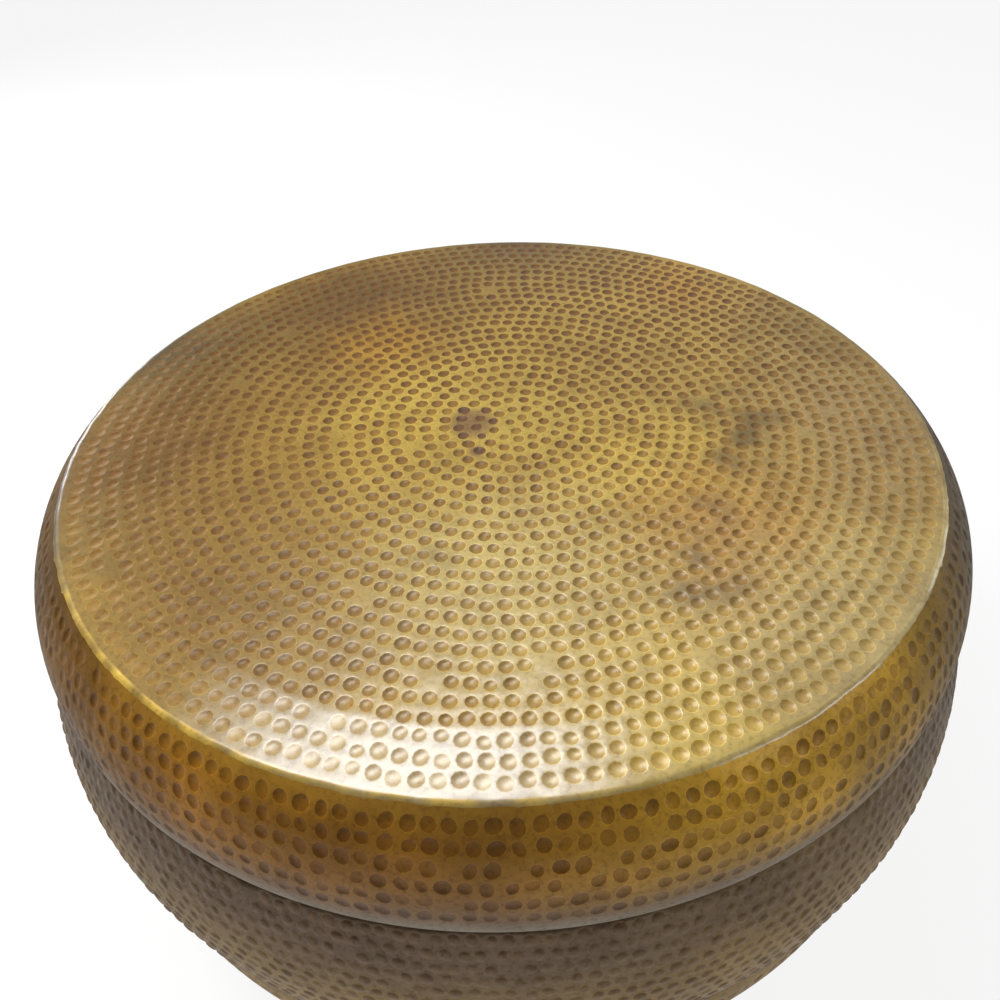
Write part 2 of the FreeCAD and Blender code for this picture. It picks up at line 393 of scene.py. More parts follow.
def top_colour(spot):
    """The top: patches with wandering edges, a pale front that is partly rubbed and partly a painted
    highlight, smudges and knots.
    """
    flat = Vector((spot.x, spot.y, 0))
    wander = PATCH_WANDER * (noise.noise_vector(flat * 14) + 0.5 * noise.noise_vector(flat * 45))
    shade = patched(BRASS, TOP_PATCHES, spot + wander)
    # Painted highlight: the front of the falling edge is painted pale where the window's glare falls,
    # partly as rubbed wear
    shade = shade.lerp(PALE_AND_PAINTED_GLARE, 0.8 * polish_and_painted_glare(spot))
    ragged = clamped(0.4 + 1.5 * noise.noise(flat * 36))
    for across, back, radius, strength in SMUDGES:
        far = apart(spot, across, back) / radius
        shade = shade.lerp(SOOT, strength * ragged * max(0, 1 - far**2))
    for across, back, radius in KNOTS:
        far = apart(spot, across, back) / radius
        shade = shade.lerp(RED_BROWN, KNOT_STRENGTH * max(0, 1 - far**4))
    return (*shade, lacquer_left(spot))


def polish_and_painted_glare(spot):
    """The front of the falling edge is rubbed pale, partly a painted highlight where the window's glare
    falls, and its dents are worn shallow.
    """
    past_droop = ramp(spot.xy.length, DROOP_START, DROOP_START + 8 * MM)
    return past_droop * lobe(turn_of(spot), -0.2, 0.46)


def roll_colour(spot):
    """The rolled rim: lumpy yellow gold at the front, brightened as a painted highlight, a pale painted
    highlight on its right, and darker brown at the left, a painted shade.
    """
    *shade, lacquer = top_colour(spot)
    turn = turn_of(spot)
    gold = lobe(turn, -0.28, 0.95)
    right = lobe(turn, 0.75, 0.8)
    left = max(0, -math.sin(turn)) * (1 - gold)
    lump = noise.noise(spot * 60)
    # Painted shade: the roll is darkened at the left
    shade = (1.15 - 0.6 * left) * Vector(shade)
    # Painted highlight: the lumpy gold of the roll is brightened along its front
    shade = shade.lerp((0.9 + 0.7 * lump) * ROLL_GOLD_AND_HIGHLIGHT, gold * min(1, 0.7 + 0.9 * lump))
    # Painted highlight: the right of the roll is painted pale
    shade = shade.lerp(ROLL_PAINTED_HIGHLIGHT, right * clamped(0.6 + 1.2 * lump))
    return (*shade, max(0.45 + 0.55 * left, lacquer))


def lacquer_left(spot):
    """How much clear lacquer is left on the top: worn at the back and the left, whole at the front."""
    past = polish_and_painted_glare(spot)
    left = ramp(-spot.x, 110 * MM, 230 * MM) * (1 - past)
    front = ramp(-spot.y, 50 * MM, 300 * MM) * (1 - 0.7 * left)
    right = ramp(spot.x, -100 * MM, 300 * MM)
    return min(1, 0.15 - 0.09 * left + (0.52 + 0.48 * past) * front + 0.22 * right)


def top_stain(spot):
    """How brown a dent of the top is: less at the right of the front and the left edge, most in a knot."""
    if any(apart(spot, across, back) < radius for across, back, radius in KNOTS):
        return hand.uniform(1.3, 1.55)
    fresh = ramp(0.8 * spot.x - 0.5 * spot.y, 60 * MM, 310 * MM)
    back = ramp(spot.y, -20 * MM, 240 * MM)
    left_edge = ramp(-spot.x, 240 * MM, 360 * MM)
    front = ramp(-spot.y, 80 * MM, 280 * MM)
    brown = hand.uniform(0.85, 1.0) * (1 - 0.25 * fresh) * (1 + 0.3 * back) * (1 - 0.15 * front)
    # Painted highlight: dents in the glare at the front are browned less, so that they read paler
    return brown * (1 - 0.35 * polish_and_painted_glare(spot)) * (1 - 0.15 * left_edge)


def below_crease(spot):
    """0 down to a little below the crease, and 1 lower on the wall and the base."""
    return ramp(WALL_TOP - spot.z, 30 * MM, 90 * MM)


def side_stain(spot):
    """How brown a dent of the side is: fainter on the left of the shoulder and just below the crease."""
    brown = hand.uniform(0.8, 1.0)
    back = max(0, spot.y / spot.xy.length)
    if spot.z < WALL_TOP:
        return brown * (1 - 0.4 * (1 - below_crease(spot)) * (1 - back))
    left = ramp(-spot.x / spot.xy.length, 0.55, 0.9)
    return brown * (1 - 0.5 * left * (1 - back))


def side_colour(spot):
    """Amber and gold at the front, brown on the flanks with a painted shade at the left, mauve by the
    crease that is partly a painted reflection, a painted reflection along the crease, brass below and
    behind.
    """
    turn = turn_of(spot)
    facing = max(0, math.cos(turn))
    # Painted shade: the flanks darken towards the left
    shade = FLANK_RIGHT.lerp(FLANK_LEFT_PAINTED_SHADE, 0.5 - 0.5 * math.sin(turn))
    shade = shade.lerp(SIDE_GOLD, max(0, math.cos(turn - 0.45)) ** 12)
    shade = shade.lerp(SIDE_AMBER, 0.9 * max(0, math.cos(turn + 0.3)) ** 8)
    shade = (1 + 0.35 * noise.noise(spot * 16)) * shade
    near_rim = ramp(spot.z, SEAM_LEVEL - 16 * MM, SEAM_LEVEL)
    front = lobe(turn, -0.35, 0.5)
    shade = shade.lerp(RIM_AMBER, 0.7 * near_rim * front)
    low = (RIM_LEVEL - spot.z) / (RIM_LEVEL - WALL_TOP)
    # Partly painted reflection: the lower part of the band turns mauve towards the crease
    shade = shade.lerp(MAUVE_AND_PAINTED_REFLECTION, 0.9 * ramp(low, 0.45, 0.9))
    back = max(0, -math.cos(turn)) ** 2
    brass = max(0.8 * below_crease(spot), 0.6 * back)
    shade = shade.lerp((1 + 0.35 * noise.noise(spot * 9)) * WALL_BRASS, brass)
    # Painted reflection: a pale line along the crease, strongest where it faces the front
    above_crease = (spot.z - RIM_LEVEL + BAND_HEIGHT) / (17 * MM)
    if -0.1 < above_crease < 1:
        shade = shade.lerp(CREASE_PAINTED_REFLECTION, (1 - abs(above_crease)) * facing**0.5)
    lacquer = 0.02 + 0.12 * facing**3 + 0.15 * near_rim * front
    return (*shade, lacquer)


# The top sheet: rings of dents round a point beside the middle

RING_CENTRE = Vector((22, -5, 0)) * MM
RING_PITCH = 15 * MM
DENT_SPACING = 14.2 * MM
TOP_DENT_RADIUS = 7.5 * MM
TOP_DENT_SIDES = 10
TOP_MISSED = 0.006
FIRST_RING = 9 * MM
LAST_RING = RIM_RADIUS - 14 * MM
# Close to the ring centre the dents are smaller
SMALL_DENTS_WITHIN = 50 * MM
SMALL_DENT = 0.82
STRENGTH_STEPS = 5
PROUD = 1.5 * MM
WAVE_HEIGHT = 0.25 * MM
WAVE_PER_METRE = 14
LUMP_REACH = 12 * MM


def top_rings():
    """Centre, radius and number of dents of each ring."""
    radius = FIRST_RING
    while radius <= LAST_RING:
        centre = RING_CENTRE * (1 - radius / RIM_RADIUS)
        yield centre, radius, round(math.tau * radius / DENT_SPACING)
        radius += RING_PITCH


def top_strength(spot):
    """How hard a dent was struck: fainter close to the rim, most of all on the left."""
    from_rim = RIM_RADIUS - spot.length
    left = max(0.0, -spot.x / RIM_RADIUS)
    fade = (60 + 20 * left**2) * MM
    strength = min(1.0, 0.72 - 0.42 * left + (0.28 + 0.42 * left) * from_rim / fade)
    strength *= 1 - 0.3 * polish_and_painted_glare(spot)
    step = round(strength * hand.uniform(0.75, 1.05) * STRENGTH_STEPS)
    return max(1, step) / STRENGTH_STEPS


def top_height(spot):
    """The sheet is a little wavy, and falls away towards the rim."""
    past = max(0, spot.xy.length - DROOP_START)
    share = past / (TOP_EDGE - DROOP_START)
    bend = PROUD + DROOP - DROOP_SLOPE * (TOP_EDGE - DROOP_START)
    wave = WAVE_HEIGHT * (1 - share) * noise.noise(Vector((spot.x, spot.y, 0)) * WAVE_PER_METRE)
    return TOP + PROUD - DROOP_SLOPE * past - bend * share**2 + wave


def dress_rim(bm):
    """The rim was dressed by hand with the hammer, so it is a little lumpy, most of all at the front."""
    for v in bm.verts:
        near = 1 - abs(v.co.xy.length - RIM_RADIUS) / LUMP_REACH
        if near > 0 and v.co.z > SEAM_LEVEL - LUMP_REACH:
            lumpy = near * MM * (0.65 - 0.35 * v.co.y / RIM_RADIUS)
            v.co += lumpy * (0.9 * noise.noise_vector(v.co * 45) + 0.35 * noise.noise_vector(v.co * 110))


def strike_top(bm):
    """Lays the rings of dents out flat, and returns them."""
    dents = []
    for centre, radius, count in top_rings():
        first = centre + on_circle(hand.uniform(0, math.tau), radius, 0)
        place = Matrix.Translation(first)
        dents += strike_row(bm, place, TOP_DENT_RADIUS, TOP_DENT_SIDES, count, centre, math.tau / count)
    for face in dents:
        from_centre = face.calc_center_median() - RING_CENTRE
        outward = from_centre.normalized() * MM
        shift = hand.gauss(0, 0.9) * outward + hand.gauss(0, 0.35) * outward.cross((0, 0, 1))
        size = hand.triangular(0.78, 1.06, 1.0)
        if from_centre.length < SMALL_DENTS_WITHIN:
            size *= SMALL_DENT
        loosen(face, shift, size, hand.uniform(1, 1.06), hand.uniform(0, math.pi))
    dents = miss_some(bm, dents, TOP_MISSED)
    keep_ridges(dents)
    return dents


def roll_rim(bm, rim):
    """Rolls the edge of the top over, hems it inside the shoulder, and closes the sheet from below."""
    low = TOP - DROOP - ROLL
    for step in range(1, ROLL_STEPS + 1):
        turn = ROLL_TURN * step / ROLL_STEPS
        rim = draw_out(bm, rim, TOP_EDGE + ROLL * math.sin(turn), low + ROLL * math.cos(turn))
    rim = draw_out(bm, rim, *SHOULDER.at(HEM, -0.25 * SHEET))
    rim = draw_out(bm, rim, *SHOULDER.at(HEM, -0.75 * SHEET))
    rim = draw_out(bm, rim, *SHOULDER.at(0, -0.75 * SHEET))
    rim = draw_out(bm, rim, TOP_EDGE, TOP - DROOP - SHEET)
    rim = draw_out(bm, rim, BOARD_EDGE, RIM_LEVEL)
    bmesh.ops.edgeloop_fill(bm, edges=rim)
    rolled = [v for v in bm.verts if v.co.xy.length > TOP_EDGE + 0.3 * MM]
    lay_patina(bm, rolled, roll_colour)
    dress_rim(bm)


def make_top_sheet(material):
    bm = bmesh.new()
    sheet_layers(bm)
    dents = strike_top(bm)
    strength_of = {f: top_strength(f.calc_center_median()) for f in dents}

    bmesh.ops.create_circle(bm, radius=TOP_EDGE, segments=SIDES * 2)
    rim = [e for e in bm.edges if not e.link_faces]
    bmesh.ops.triangle_fill(bm, edges=bm.edges[:], use_beauty=True, normal=(0, 0, 1))
    lay_patina(bm, bm.verts, top_colour)
    for v in bm.verts:
        v.co.z = top_height(v.co)
    sink(bm, dents, strength_of, top_stain)

    roll_rim(bm, rim)
    brass_piece("hammered_top", bm, "top_sheet", material)


# The shoulder and the base: rows of dents on a spun band

BAND_ROW_PITCH = 14.2 * MM
BAND_SPACING = 14.0 * MM
BAND_DENT_RADIUS = 7.6 * MM
BAND_DENT_SIDES = 10
BAND_MISSED = 0.05
BAND_STRENGTHS = (0.4, 0.6, 0.8)
BAND_RIM_MARGIN = 12 * MM
BAND_CREASE_MARGIN = 19 * MM
CREASE_EDGE = 7 * MM
# Shares of the band's length at which its inside has a ring
LINING = (0.98, 0.75, 0.5, 0.25, 0.02)


def lay_on_band(bm, arc):
    """Bends a flat ring onto a band: the distance out from the rim's circle runs down the band."""
    for v in bm.verts:
        radius, height = arc.at(v.co.xy.length - RIM_RADIUS)
        v.co = on_circle(angle_of(v), radius, height)


def strike_band(bm, arc, rim_first):
    """Lays the rows of dents out flat, as rings round the rim's circle, and returns them."""
    margins = (BAND_RIM_MARGIN, BAND_CREASE_MARGIN)
    row, last = margins if rim_first else margins[::-1]
    dents = []
    while row <= arc.length - last:
        wide = (RIM_RADIUS + row) / arc.at(row)[0]
        count = round(math.tau * arc.at(row)[0] / BAND_SPACING)
        place = Matrix.Rotation(hand.uniform(0, 1), 4, "Z") @ Matrix.Translation((RIM_RADIUS + row, 0, 0))
        place = place @ Matrix.Diagonal((1, wide, 1, 1))
        dents += strike_row(bm, place, BAND_DENT_RADIUS, BAND_DENT_SIDES, count, angle=math.tau / count)
        row += BAND_ROW_PITCH
    for face in dents:
        shift = Vector((hand.gauss(0, 0.7), hand.gauss(0, 0.7), 0)) * MM
        size = hand.triangular(0.72, 1.06, 1.0)
        loosen(face, shift, size, hand.uniform(1, 1.14), hand.uniform(0, math.pi))
    dents = miss_some(bm, dents, BAND_MISSED)
    keep_ridges(dents)
    return dents


def close_band(bm, arc, rim, crease, rim_first):
    """Tucks the band in at the crease, adds the spigot, and lines the inside back to the flange."""
    way = -1 if rim_first else 1
    edge_level = RIM_LEVEL if rim_first else BASE_LEVEL
    tuck_end = edge_level + way * (BAND_HEIGHT + TUCK_HEIGHT)
    tuck_middle = tuck_end - way * TUCK_HEIGHT / 2 + way * TUCK_BULGE
    spigot_end = tuck_end + way * SPIGOT_LENGTH
    ring = draw_out(bm, crease, (BAND_CREASE_RADIUS + SPIGOT_RADIUS) / 2 + TUCK_BULGE, tuck_middle)
    ring = draw_out(bm, ring, SPIGOT_RADIUS, tuck_end)
    ring = draw_out(bm, ring, SPIGOT_RADIUS, spigot_end)
    ring = draw_out(bm, ring, SPIGOT_RADIUS - SHEET, spigot_end)
    ring = draw_out(bm, ring, SPIGOT_RADIUS - SHEET, tuck_end - way * SHEET)
    for share in LINING:
        along = arc.length * (share if rim_first else 1 - share)
        ring = draw_out(bm, ring, *arc.at(along, -SHEET))
    flange = arc.at(0 if rim_first else arc.length)[1]
    ring = draw_out(bm, ring, FLANGE_INNER_RADIUS, flange + way * SHEET)
    ring = draw_out(bm, ring, FLANGE_INNER_RADIUS, flange)
    bmesh.ops.bridge_loops(bm, edges=ring + rim)


def make_band(name, node, arc, rim_first, material):
    bm = bmesh.new()
    sheet_layers(bm)
    dents = strike_band(bm, arc, rim_first)
    strength_of = {f: hand.choice(BAND_STRENGTHS) for f in dents}

    near, far = (0, arc.length - CREASE_EDGE) if rim_first else (CREASE_EDGE, arc.length)
    bmesh.ops.create_circle(bm, radius=RIM_RADIUS + near, segments=SIDES)
    bmesh.ops.create_circle(bm, radius=RIM_RADIUS + far, segments=SIDES)
    borders = [e for e in bm.edges if not e.link_faces]
    bmesh.ops.triangle_fill(bm, edges=bm.edges[:], use_beauty=True, normal=(0, 0, 1))
    half = RIM_RADIUS + arc.length / 2
    upper = [e for e in borders if e.verts[0].co.xy.length < half]
    lower = [e for e in borders if e.verts[0].co.xy.length > half]
    lay_on_band(bm, arc)
    lay_patina(bm, bm.verts, side_colour)
    sink(bm, dents, strength_of, side_stain)

    rim, crease = (upper, lower) if rim_first else (lower, upper)
    crease = draw_out(bm, crease, *arc.at(arc.length if rim_first else 0))
    for edge in rim + crease:
        edge.smooth = False
    # The crease ring is coloured again, with the painted reflection along the crease
    lay_patina(bm, {v for e in crease for v in e.verts}, side_colour)
    close_band(bm, arc, rim, crease, rim_first)
    if rim_first:
        dress_rim(bm)
    brass_piece(name, bm, node, material)


# The wall: one strip of sheet, bent round to a butt seam at the back

WALL_ROW_PITCH = 12.8 * MM
WALL_SPACING = 13.0 * MM
WALL_DENT_RADIUS = 6.3 * MM
WALL_DENT_SIDES = 9
WALL_MISSED = 0.04
WALL_STRENGTHS = (0.6, 0.8, 1.0)
WALL_MARGIN = 8 * MM
WALL_INNER_STEPS = 10
STRIP_LENGTH = math.tau * BELLY_RADIUS - SEAM_GAP


def strike_wall(bm):
    """Lays the rows of dents out on the flat strip, every other row half a space along."""
    dents = []
    rows = int((WALL.length - 2 * WALL_MARGIN) / WALL_ROW_PITCH)
    pitch = (WALL.length - 2 * WALL_MARGIN) / rows
    count = int((STRIP_LENGTH - 2 * WALL_MARGIN) / WALL_SPACING)
    spacing = (STRIP_LENGTH - 2 * WALL_MARGIN) / count
    for i in range(rows + 1):
        start = WALL_MARGIN + SEAM_GAP / 2 + (i % 2) * spacing / 2
        place = Matrix.Translation((start, pitch * i + WALL_MARGIN - WALL.length / 2, 0))
        dents += strike_row(bm, place, WALL_DENT_RADIUS, WALL_DENT_SIDES, count, step=(spacing, 0, 0))
    for face in dents:
        shift = Vector((hand.gauss(0, 0.7), hand.gauss(0, 0.7), 0)) * MM
        loosen(face, shift, hand.uniform(0.85, 1.06), hand.uniform(1, 1.1), hand.uniform(0, math.pi))
    dents = miss_some(bm, dents, WALL_MISSED)
    keep_ridges(dents)
    return dents


def strip_border(bm):
    """The four sides of the flat strip, with enough points to bend."""
    place = Matrix.Translation((SEAM_GAP / 2 + STRIP_LENGTH / 2, 0, 0))
    size = Matrix.Diagonal((STRIP_LENGTH / 2, WALL.length / 2, 1, 1))
    made = bmesh.ops.create_grid(bm, x_segments=1, y_segments=1, size=1, matrix=place @ size)["verts"]
    face = made[0].link_faces[0]
    for edge in list(face.edges):
        level = abs(edge.verts[0].co.y - edge.verts[1].co.y) < MM
        bmesh.ops.subdivide_edges(bm, edges=[edge], cuts=SIDES - 1 if level else WALL_INNER_STEPS - 1)
    border = list(face.edges)
    bmesh.ops.delete(bm, geom=[face], context="FACES_ONLY")
    return border


def bend_wall(bm):
    """Bends the flat strip round the drum, its ends together at the back."""
    for v in bm.verts:
        radius, height = WALL.at(WALL.length / 2 - v.co.y)
        v.co = on_circle(math.pi / 2 - v.co.x / BELLY_RADIUS, radius, height)


def line_wall(bm, border):
    """Gives the wall its thickness: a plain skin behind the hammered one."""
    verts, inner = extruded(bm, border)
    reach = WALL.radius - SHEET
    for v in verts:
        tilt = math.asin((v.co.z - WALL.y) / WALL.radius)
        v.co = on_circle(angle_of(v), WALL.x + reach * math.cos(tilt), WALL.y + reach * math.sin(tilt))
    inner_top = max(v.co.z for v in verts)
    inner_bottom = min(v.co.z for v in verts)
    flat = [e for e in inner if abs(e.verts[0].co.z - e.verts[1].co.z) < 0.01 * MM]
    upper = [e for e in flat if e.verts[0].co.z > WALL_MIDDLE]
    lower = [e for e in flat if e.verts[0].co.z < WALL_MIDDLE]
    bridged = bmesh.ops.bridge_loops(bm, edges=upper + lower)
    tall = [e for e in bridged["edges"] if abs(e.verts[0].co.z - e.verts[1].co.z) > WALL.length / 2]
    cut = bmesh.ops.subdivide_edges(bm, edges=tall, cuts=WALL_INNER_STEPS - 1, use_grid_fill=True)
    for v in cut["geom_inner"]:
        if isinstance(v, bmesh.types.BMVert):
            share = (inner_top - v.co.z) / (inner_top - inner_bottom)
            radius, height = WALL.at(WALL.length * share, -SHEET)
            v.co = on_circle(angle_of(v), radius, height)
    bmesh.ops.remove_doubles(bm, verts=bm.verts, dist=0.05 * MM)


def make_wall(material):
    bm = bmesh.new()
    sheet_layers(bm)
    dents = strike_wall(bm)
    strength_of = {f: hand.choice(WALL_STRENGTHS) for f in dents}

    border = strip_border(bm)
    bmesh.ops.triangle_fill(bm, edges=bm.edges[:], use_beauty=True, normal=(0, 0, 1))
    bend_wall(bm)
    lay_patina(bm, bm.verts, side_colour)
    sink(bm, dents, strength_of, side_stain)
    line_wall(bm, border)
    brass_piece("hammered_wall", bm, "drum_wall", material)


# Materials

# Tints that dull the clouded parts of the brass and speck it, and the browns of dents and of knots
DULL_TINT = (0.70, 0.66, 0.60)
SPECK_TINT = (0.58, 0.51, 0.43)
DENT_BROWN = (0.145, 0.066, 0.012)
KNOT_BROWN = (0.10, 0.047, 0.028)

# Clouds and specks to the metre
CLOUDS = 24.0
SPECKS = 260.0

# Two tones, grain to the metre along each axis, roughness, metal and relief
FRAME_FINISHES = {
    "black_steel": ((0.018, 0.018, 0.019), (0.034, 0.034, 0.035), (900, 900, 900), 0.45, 0.0, 0.5),
    "nylon": ((0.035, 0.034, 0.032), (0.055, 0.053, 0.050), (700, 700, 700), 0.5, 0.0, 0.25),
    "zinc": ((0.52, 0.50, 0.44), (0.66, 0.62, 0.50), (500, 500, 120), 0.32, 1.0, 0.15),
    "plain_brass": ((0.40, 0.27, 0.09), (0.52, 0.37, 0.14), (700, 700, 12), 0.38, 1.0, 0.3),
}
FRAME_DULL_TINT = (0.72, 0.70, 0.68)


def add(tree, kind, inputs=None, **settings):
    """A node with its settings, and its sockets set to values or linked to other sockets."""
    node = tree.nodes.new(kind)
    for name, value in settings.items():
        setattr(node, name, value)
    for name, value in (inputs or {}).items():
        if isinstance(value, bpy.types.NodeSocket):
            tree.links.new(value, node.inputs[name])
        else:
            node.inputs[name].default_value = value
    return node


def colour(red, green, blue):
    return (red, green, blue, 1)


def reckoned(tree, how, *values):
    return add(tree, "ShaderNodeMath", dict(enumerate(values)), operation=how).outputs[0]


def mixed(tree, share, first, second, how="MIX"):
    """Two colours mixed. The node has sockets for other kinds too, so these go by number."""
    inputs = {0: share, 6: first, 7: second}
    return add(tree, "ShaderNodeMix", inputs, data_type="RGBA", blend_type=how).outputs[2]


def tinted(tree, value, tint):
    return mixed(tree, 1.0, value, colour(*tint), "MULTIPLY")


def ranged(tree, value, low, high, to_low=0.0, to_high=1.0):
    """A value eased from one range to another."""
    inputs = {"Value": value, "From Min": low, "From Max": high, "To Min": to_low, "To Max": to_high}
    return add(tree, "ShaderNodeMapRange", inputs, interpolation_type="SMOOTHSTEP").outputs["Result"]


def grain(tree, spot, scale, detail=3.0, rough=0.5):
    inputs = {"Vector": spot, "Scale": scale, "Detail": detail, "Roughness": rough}
    return add(tree, "ShaderNodeTexNoise", inputs).outputs["Fac"]


def stretched(tree, spot, x, y, z):
    """The place on the piece, stretched so that a pattern runs along one way."""
    return add(tree, "ShaderNodeMapping", {"Vector": spot, "Scale": (x, y, z)}).outputs["Vector"]


def relieve(tree, shader, height, strength, distance):
    """Gives a surface a fine relief."""
    bump = add(tree, "ShaderNodeBump", {"Height": height, "Strength": strength, "Distance": distance})
    tree.links.new(bump.outputs["Normal"], shader.inputs["Normal"])


def new_material(name):
    material = bpy.data.materials.new(name)
    material.use_nodes = True
    tree = material.node_tree
    spot = add(tree, "ShaderNodeTexCoord").outputs["Object"]
    return material, tree, tree.nodes["Principled BSDF"], spot


def hammered_brass(name, metal, rub, dent_tint, dent_share):
    """Satin brown-gold metal under thin lacquer, brown in the dents and rubbed bright at their lips."""
    material, tree, shader, spot = new_material(name)
    bowl = add(tree, "ShaderNodeAttribute", attribute_name="bowl").outputs["Fac"]
    stain = add(tree, "ShaderNodeAttribute", attribute_name="stain").outputs["Fac"]
    sheet = add(tree, "ShaderNodeAttribute", attribute_name="patina").outputs
    cloud = grain(tree, spot, CLOUDS, 4.0, 0.6)
    mottle = grain(tree, spot, SPECKS, 4.0, 0.65)
    flat = sheet["Color"]
    flat = mixed(tree, ranged(tree, cloud, 0.4, 0.7, 0.0, 0.6), flat, tinted(tree, flat, DULL_TINT))
    dent = mixed(tree, dent_share, tinted(tree, flat, dent_tint), colour(*DENT_BROWN))
    flat = mixed(tree, ranged(tree, bowl, 0.0, 0.35), flat, tinted(tree, flat, rub))
    inside = ranged(tree, bowl, 0.3, 0.6)
    brown = reckoned(tree, "MULTIPLY", inside, stain)
    base = mixed(tree, brown, flat, dent)
    base = mixed(tree, ranged(tree, brown, 1.0, 1.5, 0.0, 0.8), base, colour(*KNOT_BROWN))
    specked = tinted(tree, base, SPECK_TINT)
    base = mixed(tree, ranged(tree, mottle, 0.45, 0.72, 0.0, 0.7), base, specked)
    tree.links.new(base, shader.inputs["Base Color"])
    rough = ranged(tree, mottle, 0.25, 0.75, 0.58, 0.68)
    rough = reckoned(tree, "ADD", rough, reckoned(tree, "MULTIPLY", inside, -0.1))
    tree.links.new(rough, shader.inputs["Roughness"])
    tree.links.new(ranged(tree, brown, 0.0, 1.0, metal, metal / 2), shader.inputs["Metallic"])
    shader.inputs["Specular IOR Level"].default_value = 0.2
    worn = ranged(tree, brown, 0.0, 0.7, 1.0, 0.5)
    coat = reckoned(tree, "MULTIPLY", worn, sheet["Alpha"])
    tree.links.new(coat, shader.inputs["Coat Weight"])
    shader.inputs["Coat Roughness"].default_value = 0.3
    shader.inputs["Coat IOR"].default_value = 2.0
    relieve(tree, shader, mottle, 0.12, 0.0006)
    return material


def plywood():
    """Birch plywood: long grain on the faces, and thin plies, light and dark by turns, at the edges."""
    material, tree, shader, spot = new_material("plywood")
    fibre = grain(tree, stretched(tree, spot, 8, 160, 160), 1.0, 5.0, 0.6)
    figure = grain(tree, stretched(tree, spot, 3, 22, 22), 1.0, 3.0)
    wood = mixed(tree, ranged(tree, fibre, 0.3, 0.7), colour(0.56, 0.38, 0.20), colour(0.70, 0.52, 0.31))
    wood = mixed(tree, ranged(tree, figure, 0.5, 0.8, 0.0, 0.5), wood, colour(0.42, 0.26, 0.12))
    ply_sizes = {"Vector": spot, "Scale": 104.0, "Distortion": 0.4}
    plies = add(tree, "ShaderNodeTexWave", ply_sizes, bands_direction="Z").outputs["Fac"]
    edge = mixed(tree, plies, colour(0.34, 0.20, 0.09), colour(0.64, 0.46, 0.26))
    facing = add(tree, "ShaderNodeNewGeometry").outputs["True Normal"]
    up = add(tree, "ShaderNodeSeparateXYZ", {0: facing}).outputs["Z"]
    level = reckoned(tree, "ABSOLUTE", up)
    tree.links.new(mixed(tree, ranged(tree, level, 0.3, 0.7), edge, wood), shader.inputs["Base Color"])
    tree.links.new(ranged(tree, fibre, 0.3, 0.7, 0.7, 0.5), shader.inputs["Roughness"])
    relieve(tree, shader, fibre, 0.2, 0.0004)
    return material


def frame_finish(name):
    """A plain painted, moulded, plated or drawn surface: two tones in a fine grain with a relief."""
    first, second, stretch, rough, metal, relief = FRAME_FINISHES[name]
    material, tree, shader, spot = new_material(name)
    fine = grain(tree, stretched(tree, spot, *stretch), 1.0, 4.0, 0.6)
    worn = grain(tree, spot, 18.0, 3.0)
    tone = mixed(tree, ranged(tree, fine, 0.3, 0.7), colour(*first), colour(*second))
    dull = tinted(tree, tone, FRAME_DULL_TINT)
    tone = mixed(tree, ranged(tree, worn, 0.45, 0.75, 0.0, 0.7), tone, dull)
    tree.links.new(tone, shader.inputs["Base Color"])
    tree.links.new(ranged(tree, worn, 0.3, 0.75, rough - 0.06, rough + 0.12), shader.inputs["Roughness"])
    shader.inputs["Metallic"].default_value = metal
    relieve(tree, shader, fine, relief, 0.0003)
    return material


def dress(material, nodes):
    for name in nodes:
        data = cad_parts[name].data
        data.materials.clear()
        data.materials.append(material)


def dress_inner_frame():
    """Wood, painted steel, nylon and screws, which show from below."""
    names = list(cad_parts)
    screws = [n for n in names if n.endswith("_screws")]
    glides = [n for n in names if n.startswith("glide_") and n not in screws]
    boards = [n for n in names if n.startswith(("deck_board", "base_segment_"))]
    steelwork = [n for n in names if n.startswith(("post_", "foot_plate_", "cross_bar_"))]
    dress(plywood(), boards)
    dress(frame_finish("black_steel"), steelwork)
    dress(frame_finish("nylon"), glides)
    dress(frame_finish("zinc"), screws)
    dress(frame_finish("plain_brass"), ["wall_seam_strip"])


# Studio: brightest behind the table, a little to the left, bright at the right too, and dim elsewhere

BRIGHT_WAY = (-0.18, 0.85, 0.50)
DIM, BRIGHT = 0.15, 0.6
RIGHT_WAY = (0.40, 0.62, 0.67)
RIGHT_BRIGHT = 0.5

# Name, place, aim, width, height and power
SOFTBOXES = (
    ("window_light", (-0.38, 0.28, 1.95), (-0.08, -0.37, 0.4), 1.1, 0.45, 17),
    ("left_light", (-2.2, 1.4, 1.6), (0, 0, 0.4), 1.2, 1.2, 130),
    ("rim_light", (-1.9, 1.85, 0.9), (-0.4, 0, 0.4), 0.8, 0.5, 13),
    ("side_light", (2.1, 0.54, 0.92), (0.35, -0.2, 0.4), 0.3, 1.0, 5),
    ("front_light", (1.6, -0.9, 1.2), (0.28, -0.28, 0.4), 1.0, 0.4, 7),
)

FLOOR_HALF_WIDTH = 8
# How much of its own paleness the floor shows where it is seen
FLOOR_GLOW = 0.88


def toward(tree, way, aim):
    """How far a direction points along an aim."""
    return add(tree, "ShaderNodeVectorMath", {0: way, 1: aim}, operation="DOT_PRODUCT").outputs["Value"]


def surroundings():
    world = bpy.data.worlds.new("studio")
    bpy.context.scene.world = world
    world.use_nodes = True
    tree = world.node_tree
    way = add(tree, "ShaderNodeTexCoord").outputs["Generated"]
    behind = ranged(tree, toward(tree, way, BRIGHT_WAY), 0.66, 0.98, DIM, BRIGHT)
    right = ranged(tree, toward(tree, way, RIGHT_WAY), 0.80, 0.97, 0.0, RIGHT_BRIGHT)
    level = reckoned(tree, "ADD", behind, right)
    tree.links.new(level, tree.nodes["Background"].inputs["Color"])


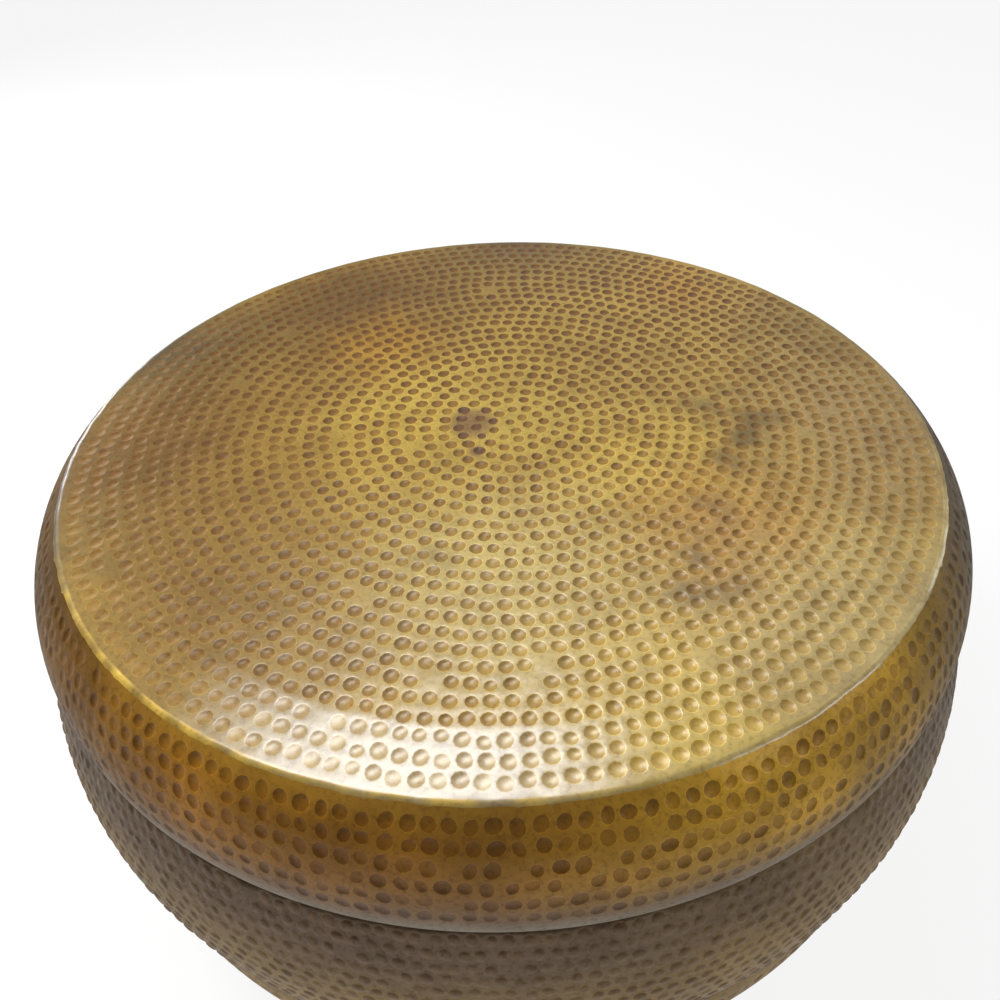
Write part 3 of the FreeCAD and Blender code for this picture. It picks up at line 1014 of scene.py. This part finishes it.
def softbox(name, place, aim, width, height, power):
    lamp = bpy.data.lights.new(name, "AREA")
    lamp.shape = "RECTANGLE"
    lamp.size = width
    lamp.size_y = height
    lamp.energy = power
    holder = bpy.data.objects.new(name, lamp)
    holder.location = place
    holder.rotation_mode = "QUATERNION"
    holder.rotation_quaternion = (Vector(aim) - Vector(place)).to_track_quat("-Z", "Y")
    holder.visible_camera = False
    bpy.context.scene.collection.objects.link(holder)
    return holder


def pale_floor():
    """A plain floor, as pale where it is seen as the studio's ground, and matt for the light on it."""
    bm = bmesh.new()
    bmesh.ops.create_grid(bm, x_segments=8, y_segments=8, size=FLOOR_HALF_WIDTH)
    mesh = bpy.data.meshes.new("floor")
    bm.to_mesh(mesh)
    bm.free()
    floor = bpy.data.objects.new("floor", mesh)
    bpy.context.scene.collection.objects.link(floor)
    material, tree, shader, spot = new_material("pale_floor")
    shader.inputs["Base Color"].default_value = colour(0.95, 0.95, 0.95)
    shader.inputs["Roughness"].default_value = 0.9
    paths = add(tree, "ShaderNodeLightPath").outputs
    seen = paths["Is Camera Ray"]
    for ray in ("Is Glossy Ray", "Is Transmission Ray"):
        seen = reckoned(tree, "MAXIMUM", seen, paths[ray])
    share = reckoned(tree, "MULTIPLY", seen, FLOOR_GLOW)
    glow = add(tree, "ShaderNodeEmission", {"Color": colour(1, 1, 1), "Strength": 1.0}).outputs[0]
    mix = add(tree, "ShaderNodeMixShader", {0: share, 1: shader.outputs[0], 2: glow})
    tree.links.new(mix.outputs[0], tree.nodes["Material Output"].inputs["Surface"])
    mesh.materials.append(material)


def studio():
    bpy.context.scene.view_settings.view_transform = "Standard"
    surroundings()
    lamps = {row[0]: softbox(*row) for row in SOFTBOXES}
    lamps["left_light"].visible_glossy = False
    lamps["front_light"].visible_diffuse = False
    pale_floor()


CAMERA_PLACE = (0, -0.698, 0.909)
CAMERA_DOWN = math.radians(40.69)
CAMERA_ROLL = math.radians(2.49)
CAMERA_LENS = 32.4
SENSOR_WIDTH = 36


def photo_camera():
    data = bpy.data.cameras.new("camera")
    data.lens = CAMERA_LENS
    data.sensor_width = SENSOR_WIDTH
    camera = bpy.data.objects.new("camera", data)
    bpy.context.scene.collection.objects.link(camera)
    aim = Matrix.Rotation(math.pi / 2 - CAMERA_DOWN, 4, "X")
    camera.matrix_world = Matrix.Translation(CAMERA_PLACE) @ aim @ Matrix.Rotation(-CAMERA_ROLL, 4, "Z")
    bpy.context.scene.camera = camera


def main():
    top_brass = hammered_brass(
        "top_brass", metal=0.3, rub=(1.5, 1.46, 1.15), dent_tint=(0.48, 0.36, 0.27), dent_share=0.7,
    )
    side_brass = hammered_brass(
        "side_brass", metal=0.3, rub=(1.25, 1.22, 1.05), dent_tint=(0.44, 0.36, 0.31), dent_share=0.0,
    )
    wall_brass = hammered_brass(
        "wall_brass", metal=0.6, rub=(1.25, 1.22, 1.05), dent_tint=(0.55, 0.45, 0.38), dent_share=0.0,
    )
    make_top_sheet(top_brass)
    make_band("hammered_shoulder", "shoulder_band", SHOULDER, True, side_brass)
    make_band("hammered_base", "base_band", BASE, False, wall_brass)
    make_wall(wall_brass)
    dress_inner_frame()
    studio()
    photo_camera()


main()
